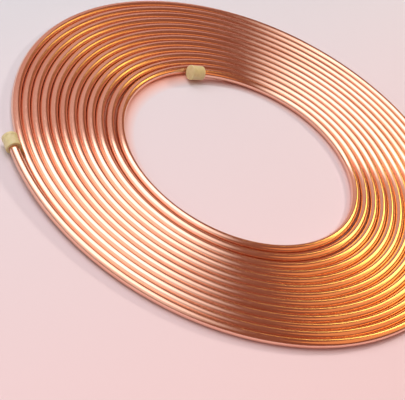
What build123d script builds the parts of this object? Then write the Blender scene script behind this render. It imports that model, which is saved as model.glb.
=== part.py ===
"""Pancake coil of round copper tube, wound in one layer, with a slip-on plastic cap on each end.

Millimetres, +Z up. The coil lies flat: the floor is at Z = 0, and the origin is on the floor in the
middle of the whole outline. The tube is one piece from its outer end to its inner end.
"""
import os
from math import asin, cos, radians, sin

from build123d import *

# Tube: its round outside is drawn with this many flats, one of them on the floor.
tube_diameter = 9.52
tube_wall = 0.81
section_flats = 8

# Winding: the half-turns are counted from the outermost, and the eye is the hole they leave. In
# front, the innermost gaps stand open by a slack, which all the gaps share behind.
eye_diameter = 252.0
turn_gap = 0.15
loose_slack = 2.1
loose_gaps = 2
half_turns = 25
outer_end_bearing = 220.3

# Tails: the free length at each end swings clear of the next turn and rises off the floor.
tail_angle = 47.0
floor_clearance = 2.0

# Caps: a soft cup with a slightly raised lip round its closed end.
cap_wall = 2.9
cap_fit = 0.1
cap_grip = 13.0
cap_end_thickness = 2.8
cap_seat_gap = 0.2
lip_width = 3.0
lip_height = 0.3
cap_edge_radius = 0.8

tube_radius = tube_diameter / 2
bore_radius = tube_radius - tube_wall
pitch = tube_diameter + turn_gap
back_pitch = pitch + loose_gaps * loose_slack / (half_turns // 2)
cap_radius = tube_radius + cap_fit + cap_wall
cap_length = cap_grip + cap_end_thickness
lip_radius = cap_radius + lip_height

# A tail's arc reaches this share of its radius sideways and, by its lean, upwards.
tail_swing = 1 - cos(radians(tail_angle))
tail_rise = lip_radius - tube_radius + floor_clearance


def crossing(index):
    """Where half-turn number index starts on the X axis: even ones in front, odd ones behind."""
    innermost = eye_diameter / 2 + tube_radius
    turns_out = (half_turns - index) // 2
    if index % 2 == 0:
        return innermost + turns_out * pitch + min(turns_out, loose_gaps) * loose_slack
    return -innermost - turns_out * back_pitch


def half_turn(index):
    """Each half-turn ends where the next one starts, in line with it."""
    centre = (crossing(index) + crossing(index + 1)) / 2
    section = across(crossing(index)) * tube_outside()
    return revolve(section, Axis((centre, 0, 0), (0, 0, 1)), 180)


def across(x):
    """Plane square to the tube where it crosses the X axis at x, with its Y upwards."""
    return Plane(origin=(x, 0, tube_radius), x_dir=(1, 0, 0), z_dir=(0, -1, 0))


def tube_outside():
    return RegularPolygon(tube_radius, section_flats, major_radius=False, rotation=180 / section_flats)


def tail_axis(index, outwards):
    """Axis of the tail at a crossing; outwards is 1 at the outer end and -1 at the inner end.

    The tail leaves the curve that the winding would go on with until its cap clears the next turn,
    and its axis leans, so that the cap clears the floor too.
    """
    start = crossing(index)
    shift = lip_radius + tube_radius + turn_gap - abs(start - crossing(index + 2 * outwards))
    radius = abs(start - crossing(index - outwards)) / 2 + outwards * shift / tail_swing
    lean = asin(tail_rise / (radius * tail_swing))
    inwards = -1 if start > 0 else 1
    centre = (start + inwards * radius * cos(lean), 0, tube_radius + radius * sin(lean))
    return Axis(centre, (-inwards * sin(lean), 0, cos(lean)))


def tail(start, axis, angle):
    """One arc of open tube and a short straight end, which the cap slips over."""
    plane = across(start)
    arc = revolve(plane * tube_outside(), axis, angle)
    arc -= revolve(plane * Circle(bore_radius), axis, angle)
    ring = plane * (Circle(tube_radius) - Circle(bore_radius))
    straight = extrude(ring, cap_grip - cap_seat_gap).rotate(axis, angle)
    return arc + straight


def cap(start, axis, angle):
    """The cap on the tail that leaves the winding at x = start, its mouth where the arc ends."""
    mouth = tube_radius + cap_fit
    lip_start = cap_length - lip_width
    profile = make_face(Polyline(
        (mouth, 0), (cap_radius, 0), (cap_radius, lip_start), (lip_radius, lip_start),
        (lip_radius, cap_length), (0, cap_length), (0, cap_grip), (mouth, cap_grip), close=True))
    end_corner = profile.vertices().group_by(Axis.Y)[-1].sort_by(Axis.X)[-1]
    cup = revolve(fillet(end_corner, cap_edge_radius), Axis.Y)
    along_tube = Plane(origin=(start, 0, tube_radius), x_dir=(1, 0, 0), z_dir=(0, 0, -1))
    return (along_tube * cup).rotate(axis, angle)


outer_start = crossing(0)
outer_axis = tail_axis(0, 1)
inner_start = crossing(half_turns)
inner_axis = tail_axis(half_turns, -1)

winding = [half_turn(index) for index in range(half_turns)]
tails = [tail(outer_start, outer_axis, -tail_angle), tail(inner_start, inner_axis, tail_angle)]
nodes = {
    "coiled_tube": Part() + winding + tails,
    "outer_end_cap": cap(outer_start, outer_axis, -tail_angle),
    "inner_end_cap": cap(inner_start, inner_axis, tail_angle),
}

bearing = Rotation(0, 0, outer_end_bearing + tail_angle)
turned = {name: bearing * shape for name, shape in nodes.items()}
middle = Compound(list(turned.values())).bounding_box().center()

os.makedirs("parts", exist_ok=True)
for name, shape in turned.items():
    export_step(Pos(-middle.X, -middle.Y, 0) * shape, f"parts/{name}.step")
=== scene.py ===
"""Copper tube coil: the drawn tube, its two soft end caps, a pale floor, studio lamps and the camera.

Metres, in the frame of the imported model: the coil lies on Z = 0 with the origin under its middle.
"""

from math import asin, cos, pi, radians, sin, tan, tau

import bpy
from mathutils import Matrix, Vector


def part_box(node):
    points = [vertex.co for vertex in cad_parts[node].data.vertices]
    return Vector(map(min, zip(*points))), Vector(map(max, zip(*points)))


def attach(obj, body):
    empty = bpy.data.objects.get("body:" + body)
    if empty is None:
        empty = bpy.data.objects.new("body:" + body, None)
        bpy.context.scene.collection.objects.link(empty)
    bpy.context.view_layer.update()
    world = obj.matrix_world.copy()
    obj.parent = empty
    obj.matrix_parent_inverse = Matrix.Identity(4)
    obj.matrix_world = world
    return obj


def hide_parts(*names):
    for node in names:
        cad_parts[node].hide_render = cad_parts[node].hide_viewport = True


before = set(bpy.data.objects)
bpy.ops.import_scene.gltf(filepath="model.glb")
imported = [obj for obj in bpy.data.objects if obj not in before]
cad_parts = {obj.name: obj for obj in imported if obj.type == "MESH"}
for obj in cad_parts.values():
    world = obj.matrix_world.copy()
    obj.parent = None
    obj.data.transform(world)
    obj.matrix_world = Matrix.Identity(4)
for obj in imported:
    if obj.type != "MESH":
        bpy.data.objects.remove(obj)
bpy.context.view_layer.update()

# Tube: its outside has two sides for each side of its bore.
tube_diameter = 0.00952
tube_wall = 0.00081
bore_sides = 12
tube_sides = 2 * bore_sides
steps_per_half_turn = 105

# Winding, as half-turns counted from the outermost. In front, the innermost gaps stand open by a
# slack, which all the gaps share behind.
eye_diameter = 0.252
turn_gap = 0.00015
loose_slack = 0.0021
loose_gaps = 2
half_turns = 25
outer_end_bearing = radians(220.3)

# Tails: the free length at each end swings clear of the next turn and rises off the floor.
tail_angle = radians(47)
floor_clearance = 0.002

# Caps: soft cups with a slightly raised lip round the closed end.
cap_wall = 0.0029
cap_fit = 0.0001
cap_grip = 0.013
cap_end_thickness = 0.0028
cap_seat_gap = 0.0002
lip_width = 0.003
lip_height = 0.0003
cap_edge_radius = 0.0008
cap_bevel = 0.0003
cap_steps_round = 72
cap_steps_rounding = 6

tube_radius = tube_diameter / 2
bore_radius = tube_radius - tube_wall
pitch = tube_diameter + turn_gap
back_pitch = pitch + loose_gaps * loose_slack / (half_turns // 2)
cap_radius = tube_radius + cap_fit + cap_wall
cap_length = cap_grip + cap_end_thickness
lip_radius = cap_radius + lip_height

# A tail's arc reaches this share of its radius sideways and, by its lean, upwards.
tail_swing = 1 - cos(tail_angle)
tail_rise = lip_radius - tube_radius + floor_clearance

# Edges that turn by more than this show as edges.
sharp_angle = radians(40)


# The tube's path: placements with X outwards, Y along the tube towards the inner end, and Z up.

def crossing(index):
    """Where half-turn number index starts on the X axis: even ones in front, odd ones behind."""
    innermost = eye_diameter / 2 + tube_radius
    turns_out = (half_turns - index) // 2
    if index % 2 == 0:
        return innermost + turns_out * pitch + min(turns_out, loose_gaps) * loose_slack
    return -innermost - turns_out * back_pitch


def section_at(index):
    """The tube's section where half-turn number index starts."""
    turn = Matrix.Rotation(0 if index % 2 == 0 else pi, 4, "Z")
    return Matrix.Translation((crossing(index), 0, tube_radius)) @ turn


def swing(centre, axis, angle):
    """A turn by an angle about an axis through the centre."""
    centre = Vector(centre)
    turn = Matrix.Rotation(angle, 4, Vector(axis))
    return Matrix.Translation(centre) @ turn @ Matrix.Translation(-centre)


def tail_placement(index, outwards, angle):
    """The section after the tail at this crossing has swung by an angle about its leaning axis.

    Outwards is 1 at the outer end and -1 at the inner end.
    """
    start = crossing(index)
    shift = lip_radius + tube_radius + turn_gap - abs(start - crossing(index + 2 * outwards))
    radius = abs(start - crossing(index - outwards)) / 2 + outwards * shift / tail_swing
    lean = asin(tail_rise / (radius * tail_swing))
    inwards = -1 if start > 0 else 1
    centre = (start + inwards * radius * cos(lean), 0, tube_radius + radius * sin(lean))
    return swing(centre, (-inwards * sin(lean), 0, cos(lean)), angle) @ section_at(index)


def outer_tail(share):
    """The section at this share of the outer tail, from the winding to the end of its arc."""
    return tail_placement(0, 1, -tail_angle * share)


def inner_tail(share):
    """The section at this share of the inner tail, from the winding to the end of its arc."""
    return tail_placement(half_turns, -1, tail_angle * share)


def tube_path():
    """Placements of the tube's section from its outer end to its inner end."""
    tail_steps = round(steps_per_half_turn * tail_angle / pi)
    straight = cap_grip - cap_seat_gap
    path = [outer_tail(1) @ Matrix.Translation((0, -straight, 0))]
    path += [outer_tail(1 - step / tail_steps) for step in range(tail_steps)]
    for index in range(half_turns):
        centre = ((crossing(index) + crossing(index + 1)) / 2, 0, 0)
        for step in range(steps_per_half_turn):
            angle = pi * step / steps_per_half_turn
            path.append(swing(centre, (0, 0, 1), angle) @ section_at(index))
    path += [inner_tail(step / tail_steps) for step in range(tail_steps + 1)]
    path.append(inner_tail(1) @ Matrix.Translation((0, straight, 0)))
    return path


# The path is turned to its bearing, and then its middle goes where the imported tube's middle is.
path = tube_path()
bearing = Matrix.Rotation(outer_end_bearing + tail_angle, 4, "Z")
turned_path = [bearing @ placement for placement in path]
path_low = Vector([min(p.translation[axis] for p in turned_path) for axis in range(3)])
path_high = Vector([max(p.translation[axis] for p in turned_path) for axis in range(3)])
tube_low, tube_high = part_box("coiled_tube")
shift = (tube_low + tube_high) / 2 - (path_low + path_high) / 2
shift.z = 0
to_frame = Matrix.Translation(shift) @ bearing


# Meshes

def add_mesh(name, vertices, faces):
    mesh = bpy.data.meshes.new(name)
    mesh.from_pydata(vertices, [], faces)
    mesh.validate()
    mesh.shade_smooth()
    mesh.set_sharp_from_angle(angle=sharp_angle)
    piece = bpy.data.objects.new(name, mesh)
    bpy.context.scene.collection.objects.link(piece)
    return piece


def ring(placement, radius, sides, along=0.0):
    """Points round the tube's axis, at a distance along it from the placement."""
    angles = [tau * k / sides for k in range(sides)]
    return [placement @ Vector((radius * cos(a), along, radius * sin(a))) for a in angles]


def strip(first, second, sides):
    """Quads between two rings of vertices that start at these indices."""
    following = [(k + 1) % sides for k in range(sides)]
    return [(first + k, first + n, second + n, second + k) for k, n in enumerate(following)]


def end_ring(outside, bore, facing):
    """The cut end of the tube: each bore edge meets two edges of the outside."""
    faces = []
    for k in range(bore_sides):
        following = (k + 1) % bore_sides
        face = [bore + k, bore + following]
        face += [outside + side % tube_sides for side in (2 * k + 2, 2 * k + 1, 2 * k)]
        faces.append(face[::facing])
    return faces


def store_run(piece, points):
    """Keeps the place of each vertex along and across the drawn tube, in metres, for its texture."""
    run = piece.data.attributes.new("run", "FLOAT_VECTOR", "POINT")
    run.data.foreach_set("vector", [value for point in points for value in point])


def make_tube(placements):
    """Each placement has a ring of the outside and then one of the bore."""
    vertices = []
    runs = []
    length = 0.0
    for number, placement in enumerate(placements):
        if number:
            length += (placement.translation - placements[number - 1].translation).length
        for radius, sides in ((tube_radius, tube_sides), (bore_radius, bore_sides)):
            vertices += ring(placement, radius, sides)
            for k in range(sides):
                runs.append((length, radius * cos(tau * k / sides), radius * sin(tau * k / sides)))
    stride = tube_sides + bore_sides
    last = (len(placements) - 1) * stride
    faces = []
    for here in range(0, last, stride):
        there = here + stride
        faces += strip(here, there, tube_sides)
        faces += strip(there + tube_sides, here + tube_sides, bore_sides)
    faces += end_ring(0, tube_sides, -1)
    faces += end_ring(last, last + tube_sides, 1)
    tube = add_mesh("drawn_tube", vertices, faces)
    store_run(tube, runs)
    return tube


def rounding(radius, centre_radius, centre_along):
    """Points of a quarter round, from the side of the cap to its closed end."""
    angles = [pi / 2 * step / cap_steps_rounding for step in range(cap_steps_rounding + 1)]
    return [(centre_radius + radius * cos(a), centre_along + radius * sin(a)) for a in angles]


def make_cap(name, placement, way):
    """A turned cup with its mouth at the placement; way is the side of its closed end along Y.

    Its profile is pairs of a radius and a distance from the mouth, from the inside to the outside.
    """
    mouth_radius = tube_radius + cap_fit
    lip_start = cap_length - lip_width
    profile = [
        (mouth_radius, cap_grip), (mouth_radius, cap_bevel), (mouth_radius + cap_bevel, 0),
        (cap_radius - cap_bevel, 0), (cap_radius, cap_bevel), (cap_radius, lip_start - cap_bevel),
        (lip_radius, lip_start)]
    profile += rounding(cap_edge_radius, lip_radius - cap_edge_radius, cap_length - cap_edge_radius)
    vertices = [placement @ Vector((0, way * cap_grip, 0))]
    for radius, along in profile:
        vertices += ring(placement, radius, cap_steps_round, way * along)
    vertices.append(placement @ Vector((0, way * cap_length, 0)))
    last = 1 + (len(profile) - 1) * cap_steps_round
    faces = []
    for first in range(1, last, cap_steps_round):
        faces += strip(first, first + cap_steps_round, cap_steps_round)
    for k in range(cap_steps_round):
        following = (k + 1) % cap_steps_round
        faces.append((0, 1 + following, 1 + k))
        faces.append((len(vertices) - 1, last + k, last + following))
    return add_mesh(name, vertices, [face[::way] for face in faces])


tube = make_tube([to_frame @ placement for placement in path])
outer_cap = make_cap("outer_soft_cap", to_frame @ outer_tail(1), -1)
inner_cap = make_cap("inner_soft_cap", to_frame @ inner_tail(1), 1)


# Materials: colours are linear red, green and blue.

def new_material(name):
    material = bpy.data.materials.new(name)
    material.use_nodes = True
    return material, material.node_tree


def add_node(tree, kind, **settings):
    """A node with its properties, and its inputs where the name is one of its sockets."""
    node = tree.nodes.new(kind)
    for name, value in settings.items():
        if name in node.inputs:
            node.inputs[name].default_value = value
        else:
            setattr(node, name, value)
    return node


def vector_node(tree, operation, source, constant=(0, 0, 0)):
    """A node that works on the source vector, and on a constant one where it takes two."""
    node = add_node(tree, "ShaderNodeVectorMath", operation=operation)
    tree.links.new(source, node.inputs[0])
    node.inputs[1].default_value = constant
    return node


def noise(tree, place, scale, detail, roughness=0.55):
    """Noise with this many features per metre along each axis of the place."""
    scaled = vector_node(tree, "MULTIPLY", place, scale)
    node = add_node(tree, "ShaderNodeTexNoise", Scale=1.0, Detail=detail, Roughness=roughness)
    tree.links.new(scaled.outputs["Vector"], node.inputs["Vector"])
    return node.outputs["Fac"]


def ranged(tree, value, low, high, result_low, result_high):
    """The value moved from one range to another, held inside it."""
    node = add_node(tree, "ShaderNodeMapRange", **{
        "From Min": low, "From Max": high, "To Min": result_low, "To Max": result_high})
    tree.links.new(value, node.inputs["Value"])
    return node.outputs["Result"]


def combined(tree, operation, first, second):
    node = add_node(tree, "ShaderNodeMath", operation=operation)
    tree.links.new(first, node.inputs[0])
    tree.links.new(second, node.inputs[1])
    return node.outputs["Value"]


def mixed(tree, share, first, second):
    """A colour between two, each of them a colour or the socket that gives one."""
    node = add_node(tree, "ShaderNodeMix", data_type="RGBA")
    tree.links.new(share, node.inputs["Factor"])
    for name, colour in (("A", first), ("B", second)):
        if isinstance(colour, bpy.types.NodeSocket):
            tree.links.new(colour, node.inputs[name])
        else:
            node.inputs[name].default_value = (*colour, 1)
    return node.outputs["Result"]


def bump(tree, height, distance, strength=1.0):
    node = add_node(tree, "ShaderNodeBump", Strength=strength, Distance=distance)
    tree.links.new(height, node.inputs["Height"])
    return node.outputs["Normal"]


def copper():
    """Bright drawn copper: fine lines along the tube, slight waves, and a faint uneven tarnish."""
    bright = (0.95, 0.6, 0.46)
    tarnished = (0.8, 0.4, 0.27)
    line_depth = 0.00001
    wave_height = 0.0012
    material, tree = new_material("bright_copper")
    shader = tree.nodes["Principled BSDF"]
    shader.inputs["Metallic"].default_value = 1
    run = add_node(tree, "ShaderNodeAttribute", attribute_name="run").outputs["Vector"]
    lines = noise(tree, run, (25, 2600, 2600), 2)
    patches = noise(tree, run, (9, 90, 90), 4)
    specks = noise(tree, run, (160, 500, 500), 5, roughness=0.7)
    waves = noise(tree, run, (6, 70, 70), 1)
    tarnish = ranged(tree, patches, 0.45, 0.72, 0.0, 0.55)
    tree.links.new(mixed(tree, tarnish, bright, tarnished), shader.inputs["Base Color"])
    line_dullness = ranged(tree, lines, 0.3, 0.7, 0.11, 0.2)
    speck_dullness = ranged(tree, specks, 0.5, 0.75, 0.0, 0.1)
    dullness = combined(tree, "ADD", line_dullness, speck_dullness)
    tree.links.new(dullness, shader.inputs["Roughness"])
    line_relief = ranged(tree, lines, 0.0, 1.0, 0.0, line_depth)
    wave_relief = ranged(tree, waves, 0.0, 1.0, 0.0, wave_height)
    relief = combined(tree, "ADD", line_relief, wave_relief)
    tree.links.new(bump(tree, relief, 1.0), shader.inputs["Normal"])
    return material


def cap_plastic():
    """Soft cream-yellow polyethylene, slightly translucent, with a satin skin."""
    cream = (0.72, 0.66, 0.37)
    deeper_cream = (0.63, 0.56, 0.29)
    grain_depth = 0.00003
    grain_strength = 0.3
    material, tree = new_material("soft_cream_plastic")
    shader = tree.nodes["Principled BSDF"]
    shader.inputs["Subsurface Weight"].default_value = 0.35
    shader.inputs["Subsurface Radius"].default_value = (0.004, 0.003, 0.0012)
    shader.inputs["Subsurface Scale"].default_value = 1.0
    shader.inputs["IOR"].default_value = 1.51
    place = add_node(tree, "ShaderNodeTexCoord").outputs["Object"]
    cloud = noise(tree, place, (220, 220, 220), 4)
    grain = noise(tree, place, (2500, 2500, 2500), 3)
    depth = ranged(tree, cloud, 0.35, 0.7, 0.0, 1.0)
    tree.links.new(mixed(tree, depth, cream, deeper_cream), shader.inputs["Base Color"])
    tree.links.new(ranged(tree, grain, 0.3, 0.7, 0.34, 0.48), shader.inputs["Roughness"])
    tree.links.new(bump(tree, grain, grain_depth, grain_strength), shader.inputs["Normal"])
    return material


def finish_piece(piece, material, node):
    piece.data.materials.append(material)
    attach(piece, "root")
    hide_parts(node)


finish_piece(tube, copper(), "coiled_tube")
soft_plastic = cap_plastic()
finish_piece(outer_cap, soft_plastic, "outer_end_cap")
finish_piece(inner_cap, soft_plastic, "inner_end_cap")


# Floor

def floor_paint():
    """Pale matt paint, pinker towards the front right and greyer towards the back left.

    Under the coil it has painted light and shade: a copper tint that stands for the warm light that
    the tube throws down between its turns and, darker than the open floor, for the soft shade at the
    coil's edges. The tint fades in over the first pair of radii and out over the second.
    """
    pinkish = (0.92, 0.735, 0.77)
    greyish = (0.55, 0.66, 0.74)
    # Colour of the painted bounce light and shade under the coil.
    painted_bounce_and_shade = (0.9, 0.4, 0.27)
    to_back_left = (-0.8, 0.6, 0)
    fade_in = (0.119, 0.139)
    fade_out = (0.232, 0.246)
    material, tree = new_material("floor_paint")
    shader = tree.nodes["Principled BSDF"]
    shader.inputs["Roughness"].default_value = 0.7
    shader.inputs["Specular IOR Level"].default_value = 0.2
    place = add_node(tree, "ShaderNodeTexCoord").outputs["Object"]
    across = vector_node(tree, "DOT_PRODUCT", place, to_back_left).outputs["Value"]
    open_floor = mixed(tree, ranged(tree, across, -0.3, 0.45, 0.0, 1.0), pinkish, greyish)
    # Mask of the painted bounce light and shade: a ring under the coil, faded in and out by radius.
    radius = vector_node(tree, "LENGTH", place).outputs["Value"]
    inside = ranged(tree, radius, *fade_in, 0.0, 1.0)
    outside = ranged(tree, radius, *fade_out, 1.0, 0.0)
    painted_light_under_coil = combined(tree, "MULTIPLY", inside, outside)
    tree.links.new(mixed(tree, painted_light_under_coil, open_floor, painted_bounce_and_shade), shader.inputs["Base Color"])
    return material


floor_size = 6.0
half = floor_size / 2
floor_corners = [(-half, -half, 0), (half, -half, 0), (half, half, 0), (-half, half, 0)]
floor = add_mesh("floor", floor_corners, [(0, 1, 2, 3)])
floor.data.materials.append(floor_paint())


# Camera: the photo is 405 x 400 pixels. The view is a fit of the coil's two outlines in it.
photo_width = 405
focal_pixels = 1493
camera_distance = 1.5059
camera_elevation = radians(39.16)
camera_roll = radians(26.5)
camera_target = Vector((-0.0193, -0.08644, 0))

camera_data = bpy.data.cameras.new("camera")
camera_data.sensor_width = 36
camera_data.lens = focal_pixels / photo_width * camera_data.sensor_width
camera = bpy.data.objects.new("camera", camera_data)
to_camera = Vector((0, -cos(camera_elevation), sin(camera_elevation)))
camera.matrix_world = (
    Matrix.Translation(camera_target + camera_distance * to_camera)
    @ Matrix.Rotation(pi / 2 - camera_elevation, 4, "X")
    @ Matrix.Rotation(camera_roll, 4, "Z")
)
bpy.context.scene.collection.objects.link(camera)
bpy.context.scene.camera = camera
bpy.context.scene.view_settings.view_transform = "Standard"


# Light

def linked_to_floor(name, state):
    """The pieces that a lamp lights: all but the floor, or the floor alone."""
    pieces = bpy.data.collections.new(name)
    pieces.objects.link(floor)
    pieces.collection_objects[0].light_linking.link_state = state
    return pieces


all_but_floor = linked_to_floor("all_but_floor", "EXCLUDE")
floor_alone = linked_to_floor("floor_alone", "INCLUDE")


def lamp(name, start, end, width, target, radiance, colour, receivers=None, spread=pi):
    """A flat soft box, as bright as a white wall lit to radiance, that faces the target.

    Its long middle line runs from start to end. A spread under a half turn narrows its beam, and
    its power then falls too, so that it stays as bright to the target.
    """
    start, end, target = Vector(start), Vector(end), Vector(target)
    middle = (start + end) / 2
    along = (end - start).normalized()
    away = middle - target
    away = (away - away.dot(along) * along).normalized()
    data = bpy.data.lights.new(name, "AREA")
    data.shape = "RECTANGLE"
    data.size = (end - start).length
    data.size_y = width
    data.energy = radiance * pi * data.size * data.size_y
    if spread < pi:
        data.spread = spread
        data.energy *= 1 - spread / 2 / tan(spread / 2)
    data.color = colour
    box = bpy.data.objects.new(name, data)
    turn = Matrix((along, away.cross(along), away)).transposed().to_4x4()
    box.matrix_world = Matrix.Translation(middle) @ turn
    box.visible_camera = False
    bpy.context.scene.collection.objects.link(box)
    box.light_linking.receiver_collection = receivers
    return data


def feather(data, corner, first_edge, last_edge, reach, far_share):
    """Lights a ceiling lamp between two edges that start at its corner, and dims it away from there.

    An edge is the two angles in degrees, seen from above, where its fade starts and ends. The reach
    is the two distances from the corner where the dimming to the far share starts and ends.
    """
    data.use_nodes = True
    tree = data.node_tree
    place = add_node(tree, "ShaderNodeNewGeometry").outputs["Position"]
    away = vector_node(tree, "SUBTRACT", place, corner).outputs["Vector"]
    parts = add_node(tree, "ShaderNodeSeparateXYZ")
    tree.links.new(away, parts.inputs["Vector"])
    angle = combined(tree, "ARCTAN2", parts.outputs["Y"], parts.outputs["X"])
    distance = vector_node(tree, "LENGTH", away).outputs["Value"]
    opened = ranged(tree, angle, *map(radians, first_edge), 0.0, 1.0)
    closed = ranged(tree, angle, *map(radians, last_edge), 1.0, 0.0)
    dimmed = ranged(tree, distance, *reach, 1.0, far_share)
    between = combined(tree, "MULTIPLY", opened, closed)
    strength = combined(tree, "MULTIPLY", between, dimmed)
    tree.links.new(strength, tree.nodes["Emission"].inputs["Strength"])


ceiling = 1.5

# A fan-shaped window in the ceiling, which starts behind the coil and opens over its front left.
panel = lamp(
    "overhead_panel", start=(-2.4, 1.95, ceiling), end=(-2.4, -4.8, ceiling), width=6.3,
    target=(-2.4, 0, 0), radiance=2.0, colour=(0.96, 1, 1))
feather(
    panel, corner=(-0.15, 1.335, ceiling), first_edge=(-165, -157), last_edge=(-91, -69),
    reach=(1.95, 2.7), far_share=0.35)

# A yellow fan just under the ceiling, which opens to the right from behind the coil.
glow = lamp(
    "warm_fan", start=(-0.15, 1.125, ceiling - 0.02), end=(3.6, 1.125, ceiling - 0.02), width=1.95,
    target=(1.725, 1.125, 0), radiance=1.9, colour=(1, 0.86, 0.2))
feather(
    glow, corner=(0.03, 2.04, ceiling), first_edge=(-30, -20), last_edge=(-7, 1),
    reach=(1.05, 2.1), far_share=0.25)

# A low yellow lamp for the glow on the right-hand turns. It shines only on that side.
lamp(
    "yellow_strip", start=(0.17, 0.5, 0.4), end=(0.62, 0.395, 0.4), width=0.15,
    target=(0.2, -0.03, 0), radiance=3.6, colour=(1, 1, 0.27), receivers=all_but_floor,
    spread=radians(60))

# Dim walls and cards for the tints between the bright lines.
lamp(
    "left_wall", start=(-0.15, 1.3, 0.8), end=(-1.45, 0.15, 0.8), width=1.5, target=(0, 0, 0.8),
    radiance=0.38, colour=(1, 0.8, 0.8))
lamp(
    "amber_wall", start=(0.2, 1.4, 0.7), end=(1.5, 0.3, 0.7), width=1.3, target=(0, 0, 0.7),
    radiance=0.12, colour=(1, 0.42, 0.15))
lamp(
    "amber_card", start=(0.1, 0.46, 0.39), end=(0.66, 0.4, 0.39), width=0.24,
    target=(0.2, -0.05, 0), radiance=0.35, colour=(1, 0.55, 0.12), receivers=all_but_floor)
lamp(
    "orange_card", start=(0.55, -0.27, 0.35), end=(0.55, 0.3, 0.35), width=0.5,
    target=(0.55, 0, 0), radiance=0.6, colour=(1, 0.47, 0.15), receivers=all_but_floor)

# A key lamp for the floor alone, which draws the coil's short soft shadow to the front left.
lamp(
    "floor_key", start=(0.565, 1.185, 0.92), end=(0.755, 1.075, 0.92), width=0.2,
    target=(0, 0, 0), radiance=57, colour=(1, 0.88, 0.82), receivers=floor_alone)

# A dim reddish room, which fills the dark zones of the copper.
world = bpy.data.worlds.new("studio")
world.use_nodes = True
background = world.node_tree.nodes["Background"]
background.inputs["Color"].default_value = (0.25, 0.1, 0.065, 1)
background.inputs["Strength"].default_value = 1
bpy.context.scene.world = world
